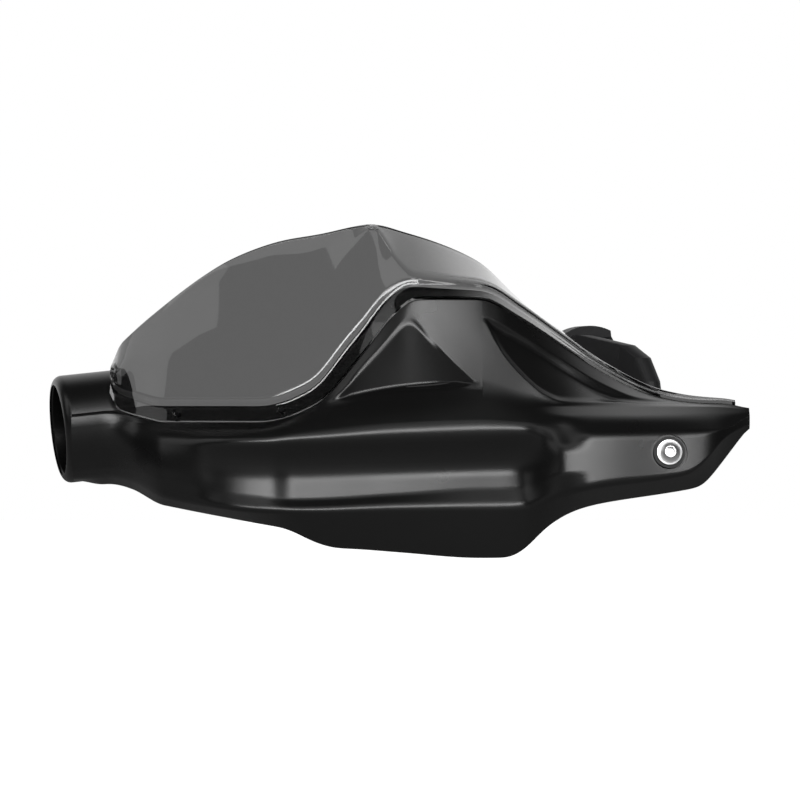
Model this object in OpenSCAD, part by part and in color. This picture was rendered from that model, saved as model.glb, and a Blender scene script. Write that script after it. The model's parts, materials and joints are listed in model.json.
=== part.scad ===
// Motorcycle hand guard: a moulded black shell with a smoked wind deflector, bolted through
// the handlebar end at its outer end and held by a clamp bracket at its inner end.
// X runs across the machine towards its middle, +Y towards the rider and +Z up.
// The origin is the centre of the bar-end hole, on the outer face of the web that it goes through.

/* [Handlebar] */
// Sweep of the handlebar end, towards the rider as it goes inwards
bar_sweep = 13; // [11:0.5:15]
// Rise of the handlebar end as it goes inwards
bar_rise = 6; // [4:0.5:8]
// Diameter of the handlebar where the bracket clamps it
bar_d = 22.2; // [20:0.1:24]

/* [Bar end cup] */
// Outer diameter of the cup
cup_d = 50; // [46:0.5:54]
// Wall of the cup round the bar-end weight
cup_wall = 4; // [3.5:0.5:5]
// Depth of the cup from its mouth to the web
cup_depth = 15.5; // [12:0.5:18]
// Length of the sleeve behind the web, which goes over the end of the grip
cup_back = 13; // [10:0.5:15]
// Thickness of the web
web_t = 5; // [3:0.5:7]
// Diameter of the hole in the web
web_hole = 20; // [16:0.5:22]
// Diameter of the bar-end bolt that the bush is bored for
end_bolt_d = 8; // [6:0.5:10]
// Diameter of the bush's flange, which spreads the bolt's load over the web
bush_flange_d = 28; // [25:0.5:34]
// Thickness of the bush's flange
bush_flange_t = 2; // [1.5:0.1:3]

/* [Shell] */
// Wall of the moulded shell
wall = 3; // [2.6:0.1:3.4]
// Depth of the channel along the front
channel_depth = 6.5; // [4:0.5:8]
// Depth of the two triangular recesses beside the strut
recess_depth = 2.6; // [1:0.2:3.4]
// Width of the flange that the deflector lies on
flange_w = 8.5; // [7.5:0.5:10]

/* [Deflector] */
// Thickness of the smoked deflector
screen_t = 3; // [2.5:0.1:4]
// How far the deflector's panel steps forward from the band that lies on the flange
screen_step = 2; // [0.5:0.1:3]
// Diameter of the posts moulded on the deflector's back
post_d = 4.6; // [4:0.1:5]
// Diameter of the screws that go into the posts
post_screw_d = 2.2; // [1.8:0.1:2.6]
// Diameter of the screws' pan heads
post_head_d = 5.4; // [4.8:0.1:6]
// Diameter of the washers under those heads
post_washer_d = 7; // [6.4:0.1:7.6]

/* [Clamp bracket] */
// Distance along the handlebar from the bar-end hole to the middle of the clamp
clamp_at = 240; // [234:1:246]
// Width of the clamp along the handlebar
clamp_w = 24; // [20:1:28]
// Wall of the clamp round the handlebar
clamp_wall = 7; // [6:0.5:9]
// Thickness of the bracket's arm
arm_t = 9; // [7:0.5:11]
// Diameter of the clamp screws
clamp_screw_d = 6; // [5:1:6]
// Distance from the handlebar's axis to each clamp screw
clamp_screw_off = 16.5; // [16:0.5:18]

/* [Mounting screw] */
// Diameter of the screw that holds the shell to the bracket
mount_screw_d = 6; // [5:0.5:6.5]
// Diameter of its button head
mount_head_d = 11.4; // [10.5:0.1:12]
// Height of its button head
mount_head_h = 3.3; // [2.8:0.1:3.8]
// Diameter of the rubber grommet's flange
grommet_d = 14.4; // [13.8:0.1:15]
// Diameter of the spot face round the grommet
spot_d = 16.6; // [16:0.1:17.5]

/* [Hidden] */
$fn = 64;
eps = 0.01;
cup_bore = cup_d - 2 * cup_wall;

plastic = [0.07, 0.07, 0.075];
smoke = [0.36, 0.36, 0.36, 0.6];
cast = [0.12, 0.12, 0.125];
rubber = [0.25, 0.25, 0.25];
steel = [0.72, 0.72, 0.74];

// Style lines of the shell in the front view, as [x, z]
line_top = [[21, 2.3], [81, 2.3], [91, 4.1], [99, 7.2], [107, 11.4], [126, 32.8], [144, 54.3], [151, 58.8],
    [180, 58.8], [199, 49.7], [217, 38.3], [235, 26.9], [253, 17.5], [266, 13.2], [281, 11.2], [294, 10.9],
    [303, 8.5]];
line_shoulder = [[21, 0], [78, 0], [110, 8.5], [143, 14.5], [180, 17.5], [203, 11.5], [221, 9.6], [265, 9.6],
    [290, 9.2], [303, 7.5]];
line_arm = [[21, -2.5], [78, -1.5], [110, 3.5], [143, 7], [180, 8.5], [203, 5.5], [225, 3.8], [290, 4.5],
    [303, 6.5]];
line_ridge = [[21, -5.5], [81, -6], [107, -4.5], [144, -2.2], [201, -0.8], [214, -1.8], [226, -3.6], [290, -1.5],
    [303, 5.5]];
line_under = [[21, -11], [81, -13.5], [144, -12.5], [201, -11], [217, -9.5], [265, -8.5], [276, -7.5], [284, -6],
    [290, -2.7], [303, 4.5]];
line_floor = [[21, -17], [81, -21.5], [144, -20], [201, -18.5], [217, -15.5], [265, -14], [274, -13], [284, -9],
    [290, -3.6], [303, 3.5]];
line_crease = [[21, -22], [81, -31.5], [98, -33], [144, -30.5], [180, -28], [201, -27.5], [206, -24.5],
    [217, -21], [265, -18.5], [274, -17.5], [284, -11.2], [290, -4.5], [303, 2.5]];
line_lip = [[21, -28], [53, -35], [81, -38], [107, -37.2], [144, -36], [201, -35.5], [215, -31], [231, -27],
    [274, -21], [284, -13.2], [290, -5.6], [303, 1.5]];
line_bottom = [[21, -33.2], [53, -39.2], [66, -41.5], [81, -44.2], [91, -46], [107, -53], [115, -55], [126, -55.6],
    [144, -57], [180, -59.5], [192, -59.4], [199, -56.5], [210, -46], [217, -41], [225, -37.3], [235, -34.7],
    [266, -29.9], [276, -28.2], [281, -26.9], [287, -20.5], [294, -11.4], [303, 0.5]];
// Upper and lower edge of the two triangular recesses, which share one pair of lines along the shell
line_recess_top = [[21, 1.7], [78, 1.7], [100, 6.3], [114, 13.2], [123.5, 24.6], [137, 38.5], [144, 47],
    [148, 51.5], [153, 46.8], [167, 30.5], [180.5, 19.8], [182.5, 50.2], [199, 42.7], [217, 31.5], [235, 20.7],
    [253, 13.5], [266, 12], [303, 8.25]];
line_recess_bottom = [[21, 0.6], [78, 0.6], [100, 5], [114, 11.8], [180.5, 18.3], [182.5, 48.3], [189.5, 35],
    [200, 22], [210, 13.8], [221, 10.6], [265, 10.4], [303, 7.75]];
recess_share = [[113, 0], [121, -0.25], [138, -0.3], [146, -0.2], [154, 0.05], [160, 0.5], [167, 0.85], [175, 0.75],
    [180.5, 0], [182.5, 0], [188, 1], [258, 1], [276, 0]];
recess_foot = [[113, 0], [125, 0.8], [146, 1.5], [160, 1.6], [170, 1.2], [176, 0.8], [180.5, 0], [182.5, 0], [188, 0.2],
    [225, 0.4], [258, 1], [276, 0]];
// How far the recesses' upper and lower edges stand out from the straight face
upper_bulge = [[113, 0], [122, 1], [138, 1.5], [146, 0.9], [152, 0]];
lower_bulge = [[113, 0], [125, -0.9], [150, -1.3], [172, -1.1], [180.5, 0], [182.5, 0.5], [186, 1.5],
    [190, 2.4], [200, 2.8], [210, 1.65], [221, 0]];

// Depth of the same lines in the plan view, as [x, y]
depth_top = [[21, -29], [53, -38], [78, -44], [94, -45], [121, -42], [151, -38], [167, -37], [189, -33],
    [203, -27], [217, -21], [235, -17], [253, -18], [271, -26], [288, -36], [303, -47]];
depth_shoulder = [[21, -32], [53, -43], [66, -48], [78, -50], [94, -50], [110, -48], [151, -46], [180, -48],
    [203, -50], [225, -48], [265, -42], [290, -44], [303, -48]];
depth_arm = [[21, -34.5], [45, -45], [66, -53.5], [81, -56], [110, -53.5], [180, -54], [203, -56], [225, -60],
    [265, -55.5], [290, -52], [303, -49]];
depth_front = [[21, -36.5], [45, -48.5], [57, -55.5], [65, -59], [76, -60.6], [86, -61], [95, -60], [150, -60],
    [201, -60], [209, -64], [217, -67.6], [225, -68], [265, -64], [281, -61.8], [291, -57.2], [303, -50]];
depth_bottom = [[21, -26], [53, -42], [81, -51], [96, -52.5], [191, -53], [206, -54], [225, -56],
    [265, -53], [290, -50], [303, -49.5]];
// Share of the channel's depth along its length
channel_share = [[48, 0], [64, 0.6], [86, 0.75], [94, 1], [192, 1], [215, 0]];
// How far the front bows out below the ridge, where there is no channel
bow = [[21, 2], [50, 1], [60, 0], [303, 0]];
// Share of the flange's width, and its lean back from the vertical, along the top edge
flange_share = [[12, 0.25], [30, 1], [235, 0.9], [270, 0.5], [303, 0.15]];
flange_lean = [[21, 18], [110, 18], [130, 22], [145, 34], [160, 48], [185, 62], [217, 74], [235, 80], [303, 84]];
// Angle of each style line round the cup, up from straight ahead
wrap_angles = [17, 14, 11, 9, 7, 5, 3, 1, -5, -12, -21, -32, -45, -58, -80];
// How far the flange and its seat stand in from the wrap round the cup
wrap_setback = [4, 2, 0, 0, 0, 0, 0, 0, 0, 0, 0, 0, 0, 0, 0];
// How far each style line's rounding reaches, and how many steps it takes
rounding = [0, 0, 1.2, 1, 1.6, 1.6, 1, 4.5, 6, 8, 6, 9, 1.2, 2.6, 0];
corner_share = 0.46;
// Lean of the flat panel round the mounting screw, and its share along the shell
panel_tilt = 8;
panel_share = [[203, 0], [217, 1], [281, 1], [303, 0]];
rounding_steps = [0, 0, 1, 1, 1, 1, 1, 2, 2, 2, 2, 2, 1, 2, 0];
TOP = 2;

first_x = -7;
last_x = 303;
styled_from = 21;
wrap_end = 6;
wrap_blend = 30;
wrap_proud = 3;
wrap_sunk = 2.5;
tip_close = [274, 289];
recess_slope = 2.8;
// Least height of a recess at its corners outside and inside, and the height where it has its full depth
recess_narrow = 2.4;
recess_narrow_inside = 8.4;
recess_full = 7;
seat_step = screen_t - 0.8;

stations = concat([for (x = [first_x : 5 : 63]) x], [69, 75, 81], [for (x = [85 : 4 : 97]) x], [103, 109],
    [for (x = [115 : 6 : 175]) x], [180.5, 182.5, 187, 192, 198, 204], [for (x = [207.5 : 3.5 : 221.5]) x],
    [for (x = [227 : 8 : 267]) x], [273, 277, 281, 285, 289, 293, 297, 300, last_x]);

function mix(a, b, t) = a + (b - a) * t;
function smooth(t) = let (s = min(1, max(0, t))) s * s * (3 - 2 * s);
function unit(v) = v / max(norm(v), 1e-6);

// Monotone cubic curve through [x, value] knots
function knot_slope(k, i) = (k[i + 1][1] - k[i][1]) / (k[i + 1][0] - k[i][0]);
function knot_tangent(k, i) =
    i == 0 ? knot_slope(k, 0)
    : i == len(k) - 1 ? knot_slope(k, i - 1)
    : let (a = knot_slope(k, i - 1), b = knot_slope(k, i)) a * b <= 0 ? 0 : 2 * a * b / (a + b);
function knot_span(k, x, i = 0) = i >= len(k) - 2 || x < k[i + 1][0] ? i : knot_span(k, x, i + 1);
function curve(k, x) =
    let (i = knot_span(k, x), h = k[i + 1][0] - k[i][0], t = min(1, max(0, (x - k[i][0]) / h)))
    (1 + 2 * t) * pow(1 - t, 2) * k[i][1] + t * pow(1 - t, 2) * h * knot_tangent(k, i)
    + t * t * (3 - 2 * t) * k[i + 1][1] - t * t * (1 - t) * h * knot_tangent(k, i + 1);

// Stretch that keeps a width true where the shell's top edge slopes
function edge_stretch(x) = sqrt(1 + pow(curve(line_top, x + 0.5) - curve(line_top, x - 0.5), 2));

// Where the handlebar's axis passes at x, as [y, z]
function bar_axis(x) = [x * tan(bar_sweep), x * tan(bar_rise) / cos(bar_sweep)];

// Directions of the flange at x, up its face and out of it, as [y, z]
function flange_up(x) = let (a = curve(flange_lean, x)) [sin(a), cos(a)];
function flange_out(x) = let (a = curve(flange_lean, x)) [-cos(a), sin(a)];
function flange_seat(x) = section(x)[1];

// A point on the straight face between the top edge and the shoulder, at height z and pushed in
function face_point(top, shoulder, z, depth) =
    let (t = (top[1] - z) / (top[1] - shoulder[1]), d = unit(shoulder - top))
    mix(top, shoulder, t) + depth * [-d[1], d[0]];

function leaned(y, z, tilt) = [y + (z - screw_z) * tilt, z];

// One section of the shell at x, as [y, z] on each style line from the flange's free edge to the bottom edge
function styled_section(x, narrow = recess_narrow) =
    let (top = [curve(depth_top, x), curve(line_top, x)],
         shoulder = [curve(depth_shoulder, x), curve(line_shoulder, x)],
         front = curve(depth_front, x),
         channel = channel_depth * curve(channel_share, x),
         belly = curve(bow, x),
         seat = top - seat_step * flange_out(x),
         tall = top[1] - shoulder[1],
         low = max(curve(line_recess_bottom, x), shoulder[1] + min(0.7 * narrow, 0.15 * tall)),
         high = max(min(curve(line_recess_top, x), top[1] - min(5, 0.15 * tall)), low + min(narrow, 0.2 * tall)),
         slope = min(recess_slope, 0.3 * (high - low)),
         recess = recess_depth * smooth((high - low) / recess_full),
         tilt = tan(panel_tilt) * curve(panel_share, x))
    [seat + flange_w * curve(flange_share, x) * edge_stretch(x) * flange_up(x), seat, top,
     face_point(top, shoulder, high, -curve(upper_bulge, x)),
     face_point(top, shoulder, high - slope, recess * curve(recess_share, x)),
     face_point(top, shoulder, low + slope, recess * curve(recess_foot, x)),
     face_point(top, shoulder, low, -curve(lower_bulge, x)), shoulder,
     [curve(depth_arm, x), curve(line_arm, x)],
     leaned(front, curve(line_ridge, x), tilt),
     leaned(front + 0.75 * channel - belly, curve(line_under, x), tilt),
     leaned(front + channel - 1.4 * belly, curve(line_floor, x), tilt),
     leaned(front + 0.62 * channel - belly, curve(line_crease, x), tilt),
     leaned(front + 0.3 * belly, curve(line_lip, x), tilt),
     [curve(depth_bottom, x), curve(line_bottom, x)]];
function round_bar(x, r, a) = bar_axis(x) + r * [-cos(a), sin(a)];
function wrapped_section(x) =
    [for (i = [0 : len(wrap_angles) - 1])
        round_bar(x, cup_d / 2 + wrap_proud - wrap_setback[i], wrap_angles[i])];
function unwrap(x) = smooth((x - wrap_end) / wrap_blend);
function mix_rows(a, b, t) = [for (i = [0 : len(a) - 1]) mix(a[i], b[i], t)];
function section(x) = mix_rows(wrapped_section(x), styled_section(max(x, styled_from)), unwrap(x));

// The same section moved inwards by t, mitred at its corners
function side(a, b) = let (d = unit(b - a)) [-d[1], d[0]];
function inset(p, t) =
    [for (i = [0 : len(p) - 1])
        let (m = side(p[max(0, i - 1)], p[max(1, i)]),
             n = side(p[min(len(p) - 2, i)], p[min(len(p) - 1, i + 1)]))
        p[i] + t * (m + n) / max(0.6, 1 + m * n)];
function without(v, skip) = [for (i = [0 : len(v) - 1]) if (i != skip) v[i]];
function inner_section(x) =
    let (around = [for (a = without(wrap_angles, TOP)) round_bar(x, cup_d / 2 - wrap_sunk, a)],
         inner_styled = styled_section(max(x, styled_from), recess_narrow_inside),
         q = mix_rows(around, inset(without(inner_styled, TOP), wall), unwrap(x)),
         n = len(q) - 1,
         s = smooth((x - tip_close[0]) / (tip_close[1] - tip_close[0])))
    [for (i = [0 : n]) mix(q[i], mix(q[0], q[n], i / n), s)];

// A section with its corners rounded, and the style line that each of its points belongs to
function corner_reach(p, i, r) = min(r, corner_share * norm(p[i] - p[i - 1]), corner_share * norm(p[i + 1] - p[i]));
function corner(p, i, r, steps) =
    let (c = corner_reach(p, i, r), a = p[i] + c * unit(p[i - 1] - p[i]), b = p[i] + c * unit(p[i + 1] - p[i]))
    steps == 0 ? [p[i]] : [for (k = [0 : steps]) let (t = k / steps) mix(mix(a, p[i], t), mix(p[i], b, t), t)];
function rounded(p, reach, steps) =
    [for (i = [0 : len(p) - 1]) each i == 0 || i == len(p) - 1 ? [p[i]] : corner(p, i, reach[i], steps[i])];
function owners(steps) = [for (i = [0 : len(steps) - 1]) each [for (k = [0 : steps[i]]) i]];

function at_x(p, x) = [for (q = p) [x, q[0], q[1]]];

// Closed skin between an outer and an inner grid of points, whose rows share their stations.
// owner gives the inner column that each outer column belongs to.
module double_skin(outer, inner, owner) {
    rows = len(outer);
    m = len(outer[0]);
    n = len(inner[0]);
    base = rows * m;
    end = (rows - 1) * m;
    inner_end = base + (rows - 1) * n;
    faces = concat(
        [for (j = [0 : rows - 2], i = [0 : m - 2]) let (a = j * m + i) each
            [[a, a + m + 1, a + 1], [a, a + m, a + m + 1]]],
        [for (j = [0 : rows - 2], i = [0 : n - 2]) let (a = base + j * n + i) each
            [[a, a + 1, a + n + 1], [a, a + n + 1, a + n]]],
        [for (j = [0 : rows - 2]) let (a = base + j * n, b = a + n - 1) each
            [[j * m, a + n, (j + 1) * m], [j * m, a, a + n],
             [j * m + m - 1, (j + 1) * m + m - 1, b + n], [j * m + m - 1, b + n, b]]],
        [for (i = [0 : m - 2]) each
            [[i, i + 1, base + owner[i]], [end + i + 1, end + i, inner_end + owner[i]]]],
        [for (i = [0 : m - 2]) if (owner[i + 1] != owner[i]) each
            [[i + 1, base + owner[i + 1], base + owner[i]],
             [end + i + 1, inner_end + owner[i], inner_end + owner[i + 1]]]]);
    polyhedron(concat([for (row = outer) each row], [for (row = inner) each row]), faces, convexity = 10);
}

module shell_skin() {
    double_skin(
        [for (x = stations) at_x(rounded(section(x), rounding, rounding_steps), x)],
        [for (x = stations) at_x(inner_section(x), x)],
        [for (i = owners(rounding_steps)) i < TOP ? i : i - 1]);
}

// Outline and depth of the deflector's top edge, as [x, z] and [x, y]
screen_top = [[10.3, 28], [14, 37.5], [18.5, 42], [30, 52], [52.7, 69.3], [66, 77.3], [81, 83.4], [91, 86.2],
    [107, 88.9], [126, 93], [130, 93.5], [135, 93], [144, 90.7], [162, 85.3], [180.3, 77], [198.6, 60.5],
    [210, 50.8], [217, 46.5], [235, 33.3], [253, 22.3], [266, 16.4], [281, 13.4], [297, 11.8]];
screen_top_depth = [[10.3, -9], [14, -13], [18.5, -15.5], [30, -18], [52.7, -20.5], [93, -22.5], [120, -23.5],
    [131, -23], [145, -14], [163, -4.5], [181, 4], [199, 10], [217, 12], [235, 8], [253, 0], [266, -9],
    [281, -21], [297, -37]];
// How far the deflector's base stands above its seat, which rounds its outer end
screen_base_lift = [[10.3, 8], [11.5, 4.5], [13.5, 2], [17, 0.6], [21, 0.3], [297, 0.3]];
// Share of the way up the panel where its crease lies, and how far that stands out
crease_share = [[10, 0.5], [105, 0.5], [120, 0.76], [131, 0.95], [134, 0.9], [138, 0.7], [144, 0.3], [149, 0.12],
    [297, 0.12]];
crease_bulge = [[10, 0.8], [52, 1.6], [128, 1.8], [138, 3.2], [144, 2.4], [150, 1], [200, 0.6], [297, 0]];
screen_gap = 0.3;
screen_rise = 2.5;
screen_rounding = [0, 4, 2, 2, 0];
screen_steps = [0, 2, 2, 2, 0];
screen_stations = concat([10.3, 11.5, 13.5, 17], [for (x = [21 : 9 : 120]) x], [for (x = [126 : 4 : 154]) x],
    [160, 166.5, 173, 180.5, 182.5, 187, 192, 198, 204], [for (x = [211 : 8 : 291]) x], [297]);

// One section of the deflector at x, from its top edge down to its base
function screen_section(x) =
    let (up = flange_up(x), out = flange_out(x), stretch = edge_stretch(x),
         base = flange_seat(x) + curve(screen_base_lift, x) * up + (screen_gap + screen_t) * out,
         top = [curve(screen_top_depth, x), curve(screen_top, x)],
         tall = norm(top - base),
         band_end = base + min(flange_w * 0.8 * stretch, 0.35 * tall) * up,
         step_end = band_end + min(screen_rise * stretch, 0.15 * tall) * up + min(screen_step, 0.1 * tall) * out,
         d = unit(top - step_end),
         crease = mix(step_end, top, curve(crease_share, x)) + curve(crease_bulge, x) * [-d[1], d[0]])
    [top, crease, step_end, band_end, base];

module screen_skin() {
    double_skin(
        [for (x = screen_stations) at_x(rounded(screen_section(x), screen_rounding, screen_steps), x)],
        [for (x = screen_stations) at_x(inset(screen_section(x), screen_t), x)],
        owners(screen_steps));
}

// The deflector's fixings: each post stands square to the flange, halfway across it
fixing_x = [42, 90, 141, 226];
washer_t = 0.8;
washer_gap = 0.15;
head_h = 2;
fixing_reach = 1.4;
bore_gap = 0.2;
function flange_point(x) =
    let (p = flange_seat(x) + 0.5 * flange_w * curve(flange_share, x) * edge_stretch(x) * flange_up(x))
    [x, p[0], p[1]];
function flange_normal(x) =
    let (up = flange_up(x), along = flange_point(x + 0.5) - flange_point(x - 0.5))
    unit(cross(along, [0, up[0], up[1]]));
function flange_thickness(x) =
    let (out = flange_out(x)) wall * abs(flange_normal(x) * [0, out[0], out[1]]);
// A frame at fixing i with Z out of the flange, from its rear face
module on_fixing(i) {
    x = fixing_x[i];
    n = flange_normal(x);
    translate(flange_point(x)) rotate([0, acos(n[2]), atan2(n[1], n[0])])
        translate([0, 0, -flange_thickness(x)]) children();
}
function post_top(i) = flange_thickness(fixing_x[i]) + screen_gap + fixing_reach;

// The handlebar's own frame, with Z along the bar, inwards from the bar-end hole
module on_bar(along = 0) {
    rotate([0, 0, bar_sweep]) rotate([0, -bar_rise, 0]) translate([along, 0, 0]) rotate([0, 90, 0]) children();
}

// The mounting screw's own frame, with Z inwards from the face of the arm
screw_x = 265.6;
screw_z = -11.4;
screw_turn = atan(curve(depth_front, screw_x + 4) / 8 - curve(depth_front, screw_x - 4) / 8);
spot_depth = 1;
grommet_flange_t = 1.6;
grommet_bore = 8;
grommet_neck_d = 12;
boss_d = 20;
boss_depth = 8;
sleeve_front = spot_depth - grommet_flange_t;
sleeve_back = boss_depth + grommet_flange_t;
module on_screw(depth = 0) {
    translate([screw_x, curve(depth_front, screw_x), screw_z]) rotate([0, 0, screw_turn])
        rotate([-90 - panel_tilt, 0, 0])
        translate([0, 0, depth]) children();
}

// Shell

module cup() {
    r = cup_d / 2;
    lip = 4;
    back_wall = 3;
    on_bar() rotate_extrude() polygon(concat(
        [[0, 0], [cup_bore / 2, 0], [cup_bore / 2, 1.5 - cup_depth], [cup_bore / 2 + 1, 0.4 - cup_depth]],
        [for (a = [0 : 15 : 90]) [r - lip + lip * sin(a), lip - cup_depth - lip * cos(a)]],
        [[r, web_t + cup_back], [r - back_wall, web_t + cup_back], [r - back_wall, web_t], [0, web_t]]));
}

module guard_shell() {
    color(plastic) difference() {
        union() {
            shell_skin();
            cup();
            on_screw(wall - 1) cylinder(h = boss_depth - wall + 1, d = boss_d);
        }
        on_bar(-cup_depth - 10) cylinder(h = cup_depth + 10, d = cup_bore);
        on_bar(-1) cylinder(h = web_t + 2, d = web_hole);
        on_screw(-5) cylinder(h = 5 + spot_depth, d = spot_d);
        on_screw(-5) cylinder(h = boss_depth + 10, d = grommet_neck_d);
        for (i = [0 : len(fixing_x) - 1])
            on_fixing(i) translate([0, 0, -3]) cylinder(h = 9, d = post_d + 2 * bore_gap);
    }
}

// Deflector and its fixings

module wind_deflector() {
    color(smoke) difference() {
        union() {
            screen_skin();
            for (i = [0 : len(fixing_x) - 1])
                on_fixing(i) translate([0, 0, bore_gap]) cylinder(h = post_top(i) - bore_gap, d = post_d);
        }
        for (i = [0 : len(fixing_x) - 1])
            on_fixing(i) translate([0, 0, -1]) cylinder(h = post_top(i) - 0.4 + 1, d = post_screw_d);
    }
}

module deflector_screw(i) {
    shank = post_top(i) - 0.8;
    color(steel) on_fixing(i) translate([0, 0, -washer_gap - washer_t - head_h]) difference() {
        union() {
            rotate_extrude() polygon([[0, 0], [post_head_d / 2 - 0.9, 0], [post_head_d / 2 - 0.3, 0.3],
                [post_head_d / 2, 0.9], [post_head_d / 2, head_h], [0, head_h]]);
            cylinder(h = head_h + washer_t + washer_gap + shank, d = post_screw_d - 0.1);
        }
        translate([0, 0, -1]) cylinder(h = 2.1, d = 2.3, $fn = 6);
    }
}

module deflector_washer(i) {
    color(steel) on_fixing(i) translate([0, 0, -washer_gap - washer_t]) difference() {
        cylinder(h = washer_t, d = post_washer_d);
        translate([0, 0, -1]) cylinder(h = washer_t + 2, d = post_screw_d + 2 * bore_gap);
    }
}

// Bar end

module bar_end_bush() {
    color(steel) on_bar() difference() {
        union() {
            translate([0, 0, -bush_flange_t]) cylinder(h = bush_flange_t, d = bush_flange_d);
            translate([0, 0, -eps]) cylinder(h = web_t + eps, d = web_hole - 2 * bore_gap);
        }
        translate([0, 0, -bush_flange_t - 1]) cylinder(h = bush_flange_t + web_t + 2, d = end_bolt_d + 2 * bore_gap);
    }
}

// Mounting screw, its grommet and sleeve

module mounting_screw() {
    r = mount_head_d / 2;
    edge = 0.8;
    crown = 0.45 * r;
    reach = 11;
    color(steel) on_screw(sleeve_front) difference() {
        union() {
            rotate_extrude() polygon(concat([[0, 0], [r, 0], [r, -edge]],
                [for (a = [15 : 15 : 90]) [r - (r - crown) * sin(a), -edge - (mount_head_h - edge) * (1 - cos(a))]],
                [[crown, -mount_head_h], [0, -mount_head_h]]));
            cylinder(h = sleeve_back - sleeve_front + reach, d = mount_screw_d - 0.2);
        }
        translate([0, 0, -mount_head_h - 1]) cylinder(h = 3.2, d = 4 / cos(30), $fn = 6);
    }
}

module screw_grommet() {
    neck = grommet_neck_d - 2 * bore_gap;
    color(rubber) on_screw(sleeve_front) difference() {
        union() {
            cylinder(h = grommet_flange_t, d = grommet_d);
            cylinder(h = sleeve_back - sleeve_front, d = neck);
            translate([0, 0, boss_depth - sleeve_front]) cylinder(h = grommet_flange_t, d = grommet_d);
        }
        translate([0, 0, -1]) cylinder(h = sleeve_back - sleeve_front + 2, d = grommet_bore);
    }
}

module screw_sleeve() {
    color(steel) on_screw(sleeve_front) difference() {
        cylinder(h = sleeve_back - sleeve_front, d = grommet_bore - 0.1);
        translate([0, 0, -1]) cylinder(h = sleeve_back - sleeve_front + 2, d = mount_screw_d + 0.4);
    }
}

// Clamp bracket

split_gap = 0.6;
ear_t = 8;
ear_end = 6;
clamp_head_h = 6;
clamp_head_d = 10;
clamp_socket = 5;
clamp_washer_t = 1.6;
clamp_washer_d = 11.5;
thread_reach = 6;
// Stations of the arm from the clamp to the boss, as [x, y, lowest z, highest z]
arm_path = [[230, 40, 8, 43], [250, 25, 8, 38], [257, 17, 2, 32], [261, 10, -10, 21], [263, 4, -18, 3],
    [262.2, -36, -19.5, -3.5]];
bracket_boss_d = 18;
bracket_boss_h = 15;

// The clamp's own frame, with X towards the rider, Y upwards and Z along the handlebar
module on_clamp() {
    on_bar(clamp_at) rotate([0, 0, 90]) children();
}

// Both halves of the clamp, before they are split
module clamp_block() {
    tall = clamp_screw_off + ear_end;
    translate([0, 0, -clamp_w / 2]) cylinder(h = clamp_w, r = bar_d / 2 + clamp_wall);
    intersection() {
        translate([-ear_t, -tall, -clamp_w / 2]) cube([2 * ear_t, 2 * tall, clamp_w]);
        translate([-2 * ear_t, 0, 0]) rotate([0, 90, 0]) cylinder(h = 4 * ear_t, r = tall);
    }
}

module clamp_half(towards_rider) {
    far = 60;
    intersection() {
        clamp_block();
        translate([towards_rider ? split_gap / 2 : -far - split_gap / 2, -far / 2, -far / 2]) cube(far);
    }
}

module clamp_bores(screw_hole, from, to) {
    translate([0, 0, -clamp_w]) cylinder(h = 2 * clamp_w, d = bar_d);
    for (end = [-1, 1])
        translate([from, end * clamp_screw_off, 0]) rotate([0, 90, 0]) cylinder(h = to - from, d = screw_hole);
}

module arm() {
    for (i = [0 : len(arm_path) - 2]) hull() for (k = [i, i + 1])
        translate([arm_path[k][0], arm_path[k][1], arm_path[k][2]])
            cylinder(h = arm_path[k][3] - arm_path[k][2], d = arm_t, $fn = 24);
}

module inner_bracket() {
    color(cast) difference() {
        union() {
            on_clamp() clamp_half(false);
            difference() {
                arm();
                on_clamp() translate([0, 0, -clamp_w]) cylinder(h = 2 * clamp_w, r = bar_d / 2 + clamp_wall - 1);
            }
            on_screw(sleeve_back) cylinder(h = bracket_boss_h, d = bracket_boss_d);
        }
        on_clamp() clamp_bores(clamp_screw_d, -thread_reach - 1, 1);
        on_screw(sleeve_back - 1) cylinder(h = bracket_boss_h - 1, d = mount_screw_d);
    }
}

module clamp_cap() {
    color(cast) on_clamp() difference() {
        clamp_half(true);
        clamp_bores(clamp_screw_d + 0.6, -1, ear_t + 1);
        for (end = [-1, 1])
            translate([ear_t, end * clamp_screw_off, 0]) rotate([0, 90, 0])
                cylinder(h = bar_d, d = clamp_washer_d + 1);
    }
}

module on_clamp_screw(end) {
    on_clamp() translate([ear_t, end * clamp_screw_off, 0]) rotate([0, 90, 0]) children();
}

module clamp_screw(end) {
    chamfer = 0.5;
    color(steel) on_clamp_screw(end) translate([0, 0, clamp_washer_t]) difference() {
        union() {
            cylinder(h = clamp_head_h - chamfer, d = clamp_head_d);
            translate([0, 0, clamp_head_h - chamfer])
                cylinder(h = chamfer, d1 = clamp_head_d, d2 = clamp_head_d - 2 * chamfer);
            translate([0, 0, -clamp_washer_t - ear_t - thread_reach])
                cylinder(h = clamp_washer_t + ear_t + thread_reach + eps, d = clamp_screw_d - 0.2);
        }
        translate([0, 0, clamp_head_h - 3]) cylinder(h = 4, d = clamp_socket / cos(30), $fn = 6);
    }
}

module clamp_washer(end) {
    color(steel) on_clamp_screw(end) difference() {
        cylinder(h = clamp_washer_t, d = clamp_washer_d);
        translate([0, 0, -1]) cylinder(h = clamp_washer_t + 2, d = clamp_screw_d + 0.4);
    }
}

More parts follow.
